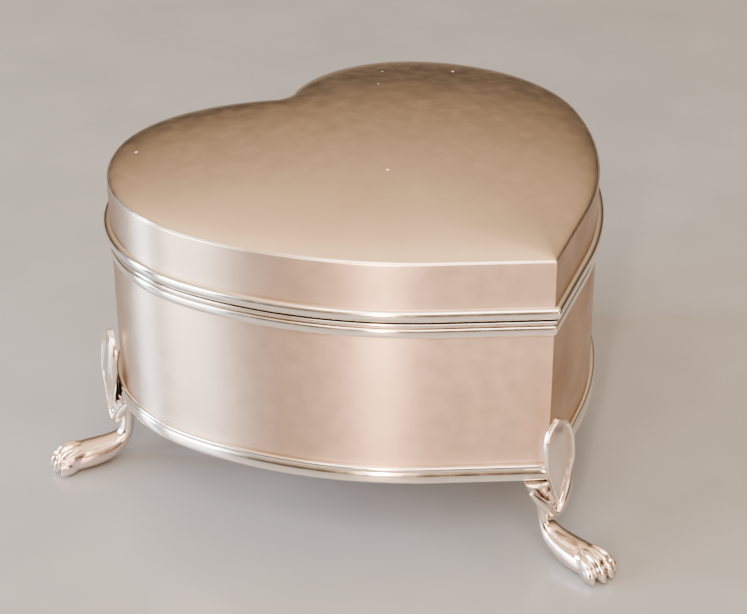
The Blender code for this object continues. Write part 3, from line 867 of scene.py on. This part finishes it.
def foot_casting(lift):
    """One casting: blank fused by voxels, smoothed, and filed flat at hip and sole."""
    bm = foot_blank(lift)
    mesh = bpy.data.meshes.new("foot_blank")
    bm.to_mesh(mesh)
    bm.free()
    blank = bpy.data.objects.new("foot_blank", mesh)
    bpy.context.scene.collection.objects.link(blank)
    fuse = blank.modifiers.new("fuse", "REMESH")
    fuse.mode = "VOXEL"
    fuse.voxel_size = FOOT_VOXEL
    soften = blank.modifiers.new("soften", "SMOOTH")
    soften.factor = 0.5
    soften.iterations = FOOT_SMOOTHING
    graph = bpy.context.evaluated_depsgraph_get()
    fused = bpy.data.meshes.new_from_object(blank.evaluated_get(graph))
    bpy.data.objects.remove(blank, do_unlink=True)
    bm = bmesh.new()
    bm.from_mesh(fused)
    for height, normal in ((-lift, -1.0), (-TOUCH, 1.0)):
        cut = bmesh.ops.bisect_plane(bm, geom=bm.verts[:] + bm.edges[:] + bm.faces[:], dist=0.000002,
                                     plane_co=(0, 0, height), plane_no=(0, 0, normal), clear_outer=True)
        rim = [e for e in cut["geom_cut"] if isinstance(e, bmesh.types.BMEdge)]
        bmesh.ops.holes_fill(bm, edges=rim, sides=0)
    bm.to_mesh(fused)
    bm.free()
    return fused


def leaf_half(share):
    """Half width of the lancet leaf along its height, from 0 at its tip to 1 at its top."""
    tip = min(1.0, share / LEAF_TIP_SHARE)
    head = min(1.0, (1.0 - share) / LEAF_TOP_SHARE)
    return LEAF_WIDTH / 2 * tip ** 0.75 * (1.0 - (1.0 - head) ** 2) ** 0.70


def smooth_step(t):
    """Eased rise from 0 to 1."""
    t = min(max(t, 0.0), 1.0)
    return t * t * (3 - 2 * t)


def leaf_mesh():
    """Lancet leaf: a faintly swelling face inside a rounded raised rim, bowed off the wall."""
    skew = LEAF_WIDTH / 2 * math.sin(REAR_FOOT_TURN)
    stand = MOULDING_PROJECTION / math.sin(POINT_HALF_ANGLE) + FOOT_GAP + skew
    top_stand = LEAF_STAND + skew
    bend = MOULDING_TOP_Z - BASE_Z + FOOT_GAP
    height = LEAF_TOP + LEAF_DROP
    loops = []
    for k in range(LEAF_ROWS + 1):
        share = LEAF_END + (1 - 2 * LEAF_END) * (0.5 - 0.5 * math.cos(math.pi * k / LEAF_ROWS))
        z = -LEAF_DROP + height * share
        half = leaf_half(share)
        lean = smooth_step((z - bend) / (LEAF_TOP - bend))
        back = stand + (top_stand - stand) * lean
        seat = smooth_step((z + LEAF_SEAT_FADE) / LEAF_SEAT_FADE)
        seat *= smooth_step((bend + LEAF_SEAT_FADE - z) / LEAF_SEAT_FADE)
        rib = -back + LEAF_SEAT * seat
        rib_half = half * LEAF_SEAT_WIDTH
        loop = [(half, -back, z), (rib_half, rib, z), (0.0, rib, z), (-rib_half, rib, z), (-half, -back, z)]
        for i in range(LEAF_ACROSS + 1):
            t = -math.cos(math.pi * i / LEAF_ACROSS)
            edge = min((1 - abs(t)) * half, min(share, 1.0 - share) * height * 0.9)
            rim = math.sin(math.pi * min(1.0, (edge + LEAF_RIM_START) / LEAF_RIM_WIDTH)) ** LEAF_RIM_POWER
            face = smooth_step((edge - LEAF_RIM_WIDTH * 0.6) / (LEAF_WIDTH * 0.35))
            rise = LEAF_BACK + LEAF_RIM * rim + LEAF_SWELL * face
            loop.append((half * t, -back - rise, z))
        loops.append(loop)
    made = loop_mesh("leaf", loops, start_cap="face", end_cap="face", sharp=LEAF_SHARP)
    mesh = made.data
    bpy.data.objects.remove(made, do_unlink=True)
    return mesh


def feet():
    """Three paws and three leaves, turned and set round the moulding."""
    casting, leaf = foot_casting(BASE_Z), leaf_mesh()
    spread = Vector((math.cos(REAR_FOOT_ANGLE), math.sin(REAR_FOOT_ANGLE))) * LOBE_RADIUS
    turn = math.pi / 2 + REAR_FOOT_ANGLE - REAR_FOOT_TURN
    spots = (("front", Vector((0.0, -POINT_REACH)), FRONT_FOOT_TURN),
             ("left", Vector((-SHOULDER_X - spread.x, spread.y)), -turn),
             ("right", Vector((SHOULDER_X + spread.x, spread.y)), turn))
    for side, spot, angle in spots:
        stand = Matrix.Translation((spot.x, spot.y + SHOULDER_Y, BASE_Z)) @ Matrix.Rotation(angle, 4, "Z")
        for label, source, cad, sharp in (("paw", casting, "_foot", PAW_SHARP),
                                          ("leaf", leaf, "_plaque", LEAF_SHARP)):
            mesh = source.copy()
            mesh.transform(stand)
            piece = tidy(f"{side}_{label}", mesh, sharp)
            place(piece, SILVER_CAST, "silver", "box", side + cad)


feet()


# ---------------------------------------------------------------- lining

def evaluated_mesh(piece):
    """Mesh of an object as its modifiers leave it."""
    graph = bpy.context.evaluated_depsgraph_get()
    return bpy.data.meshes.new_from_object(piece.evaluated_get(graph))


def puff(piece, floor_z, ceiling_z):
    """Swells a closed form as sewn cloth over wadding, with its underside held flat."""
    scene = bpy.context.scene
    piece.data.transform(Matrix.Scale(CLOTH_SCALE, 4))
    grid = piece.modifiers.new("grid", "REMESH")
    grid.mode = "VOXEL"
    grid.voxel_size = CLOTH_VOXEL * CLOTH_SCALE
    mesh = evaluated_mesh(piece)
    piece.modifiers.clear()
    piece.data = mesh
    start = [v.co.copy() for v in mesh.vertices]
    held = piece.vertex_groups.new(name="held")
    low = (floor_z + CLOTH_VOXEL) * CLOTH_SCALE
    held.add([v.index for v in mesh.vertices if v.co.z < low], 1.0, "REPLACE")
    cloth = piece.modifiers.new("cloth", "CLOTH")
    cloth.settings.quality = CLOTH_QUALITY
    cloth.settings.vertex_group_mass = "held"
    cloth.settings.use_pressure = True
    cloth.settings.uniform_pressure_force = CLOTH_PRESSURE
    cloth.settings.effector_weights.gravity = 0.0
    cloth.collision_settings.use_collision = False
    for step in range(1, CLOTH_STEPS + 1):
        scene.frame_set(step)
    swollen = evaluated_mesh(piece)
    scene.frame_set(1)
    piece.modifiers.clear()
    piece.vertex_groups.clear()
    cap = CLOTH_CAP * CLOTH_SCALE
    for vertex, origin in zip(swollen.vertices, start):
        move = vertex.co - origin
        if move.length > cap:
            move *= cap / move.length
        vertex.co = (origin + move) / CLOTH_SCALE
        vertex.co.z = min(max(vertex.co.z, floor_z), ceiling_z)
    piece.data = swollen
    fine = piece.modifiers.new("fine", "SUBSURF")
    fine.levels = 1
    fine.render_levels = 1
    piece.data = evaluated_mesh(piece)
    piece.modifiers.clear()
    piece.data.shade_smooth()


def pad():
    """Velvet cushion: crowned, with rounded sides that tuck in at top and foot, puffed as cloth."""
    low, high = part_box("base_pad")
    offset = -COLLAR_FACE - LINING_THICKNESS - PAD_TUCK
    height = high[2] - low[2]
    loops = []
    for i in range(PAD_SIDE_STEPS + 1):
        a = PAD_SIDE_TURN * (2 * i / PAD_SIDE_STEPS - 1)
        bulge = PAD_TUCK * (1 - math.cos(a))
        loops.append(flat_ring(offset - bulge, low[2] + height * PAD_SIDE * (1 + math.sin(a)), PAD_NOSE))
    edge = heart(offset - PAD_TUCK, PAD_NOSE)
    centre = Vector((0.0, SHOULDER_Y + DOME_CENTRE_Y))
    side_top = loops[-1][0][2]
    crown = high[2] - PAD_TUCK * PAD_CROWN_DROP
    for k in range(1, PAD_RINGS):
        share = 1 - k / PAD_RINGS
        z = side_top + (crown - side_top) * (1 - share ** PAD_CROWN_POWER)
        spots = (centre + (p - centre) * share for p in edge)
        loops.append([(spot.x, spot.y, z) for spot in spots])
    piece = loop_mesh("velvet_pad", loops, start_cap="face", end_cap=(centre.x, centre.y, crown))
    puff(piece, low[2], high[2])
    place(piece, VELVET, "velvet", "box", "base_pad")


def wall_lining():
    """Velvet strip round the inside of the wall, too thin for the cloth simulation."""
    low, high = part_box("wall_lining")
    face = -COLLAR_FACE
    profile = rounded_band(face, face - LINING_THICKNESS, low[2], high[2], LINING_EDGE, 6)
    strip = sweep("velvet_wall", profile, nose=LINING_NOSE)
    piece = place(strip, VELVET, "velvet", "box", "wall_lining")


def board():
    """Card that the pad lies on."""
    low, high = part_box("pad_board")
    offset = -MOULDING_INSET - BOARD_GAP
    rings = [flat_ring(offset, low[2]), flat_ring(offset, high[2])]
    card = loop_mesh("pad_card", rings, start_cap="face", end_cap="face")
    place(card, CARD, "card", "box", "pad_board")


pad()
wall_lining()
board()


# ---------------------------------------------------------------- stage

CAMERA_AZIMUTH = math.radians(-37.05)
CAMERA_ELEVATION = math.radians(30.07)
CAMERA_DISTANCE = 0.367
CAMERA_LENS = 98.43
CAMERA_AIM = Vector((0.00595, SHOULDER_Y - 0.00545, BASE_Z - 0.00132))
CAMERA_SHIFT = (-0.0333, 0.0641)
SENSOR_WIDTH = 36.0

FLOOR_HALF = 3.0
FLOOR_DARK = (0.28, 0.30, 0.33)
FLOOR_PALE = (0.32, 0.34, 0.37)
FLOOR_ROUGHNESS = 0.27

ROOM_DARK = (0.030, 0.023, 0.018)
ROOM_BRIGHT = (1.00, 0.69, 0.42)
ROOM_STRENGTH = 2.25
ROOM_LOW = 0.10               # heights on the unit sphere where the room starts and stops brightening
ROOM_HIGH = 0.85
ROOM_POWER = 1.9

# Softboxes: name, plan angle in degrees, distance, height, size, power, colour
LIGHT_AIM = (0.0, 0.0, 0.03)
SOFTBOXES = (
    ("key_front", 226, 0.50, 0.70, (0.55, 0.36), 5.0, (1.0, 0.90, 0.80)),
    ("warm_strip", 224, 0.60, 0.27, (0.020, 0.40), 4.6, (1.0, 0.66, 0.42)),
    ("warm_panel", 256, 0.70, 0.16, (0.18, 0.24), 1.4, (1.0, 0.52, 0.34)),
    ("cool_window", 137, 0.70, 0.20, (0.10, 0.30), 5.4, (0.70, 0.84, 1.0)),
    ("left_fill", 166, 0.70, 0.22, (0.32, 0.36), 7.0, (0.94, 0.96, 1.0)),
)


def camera():
    """Camera from above the heart's left front, as a viewer at a table would stand."""
    level = math.cos(CAMERA_ELEVATION)
    back = Vector((math.sin(CAMERA_AZIMUTH) * level, -math.cos(CAMERA_AZIMUTH) * level,
                   math.sin(CAMERA_ELEVATION)))
    data = bpy.data.cameras.new("camera")
    data.lens = CAMERA_LENS
    data.sensor_width = SENSOR_WIDTH
    data.clip_start = 0.01
    data.shift_x, data.shift_y = CAMERA_SHIFT
    made = bpy.data.objects.new("camera", data)
    bpy.context.scene.collection.objects.link(made)
    made.location = CAMERA_AIM + back * CAMERA_DISTANCE
    made.rotation_euler = (-back).to_track_quat("-Z", "Y").to_euler()
    bpy.context.scene.camera = made


def floor():
    """Plain pale floor with a faint mottle."""
    made, tree, shader, coords = new_material("floor")
    mottle = noise(tree, coords, 40.0, detail=5.0)
    colour = blend_colour(tree, contrast(tree, mottle), FLOOR_DARK, FLOOR_PALE)
    tree.links.new(colour, shader.inputs["Base Color"])
    shader.inputs["Roughness"].default_value = FLOOR_ROUGHNESS
    bm = bmesh.new()
    bmesh.ops.create_grid(bm, x_segments=4, y_segments=4, size=FLOOR_HALF)
    mesh = bpy.data.meshes.new("floor")
    bm.to_mesh(mesh)
    bm.free()
    mesh.materials.append(made)
    piece = bpy.data.objects.new("floor", mesh)
    bpy.context.scene.collection.objects.link(piece)


def softbox(name, place_at, aim, size, power, colour):
    """Rectangular area light that looks at a point."""
    data = bpy.data.lights.new(name, "AREA")
    data.shape = "RECTANGLE"
    data.size, data.size_y = size
    data.energy = power
    data.color = colour
    made = bpy.data.objects.new(name, data)
    bpy.context.scene.collection.objects.link(made)
    made.location = place_at
    made.rotation_euler = (Vector(aim) - Vector(place_at)).to_track_quat("-Z", "Y").to_euler()
    made.visible_camera = False


def toward(angle, distance, height):
    """Place at a plan angle in degrees, anticlockwise from +X, round the box."""
    turn = math.radians(angle)
    return (distance * math.cos(turn), distance * math.sin(turn), height)


def world():
    """Warm room: dark near the horizon, bright overhead."""
    made = bpy.data.worlds.new("studio")
    bpy.context.scene.world = made
    made.use_nodes = True
    tree = made.node_tree
    ray = tree.nodes.new("ShaderNodeTexCoord").outputs["Generated"]
    parts = tree.nodes.new("ShaderNodeSeparateXYZ")
    tree.links.new(ray, parts.inputs["Vector"])
    rise = span(tree, parts.outputs["Z"], ROOM_LOW, ROOM_HIGH, 0.0, 1.0)
    height = math_node(tree, "POWER", rise, ROOM_POWER)
    colour = blend_colour(tree, height, ROOM_DARK, ROOM_BRIGHT)
    tree.links.new(colour, tree.nodes["Background"].inputs["Color"])
    tree.nodes["Background"].inputs["Strength"].default_value = ROOM_STRENGTH


def lights():
    for name, angle, distance, height, size, power, colour in SOFTBOXES:
        softbox(name, toward(angle, distance, height), LIGHT_AIM, size, power, colour)


camera()
floor()
world()
lights()

bpy.context.view_layer.update()
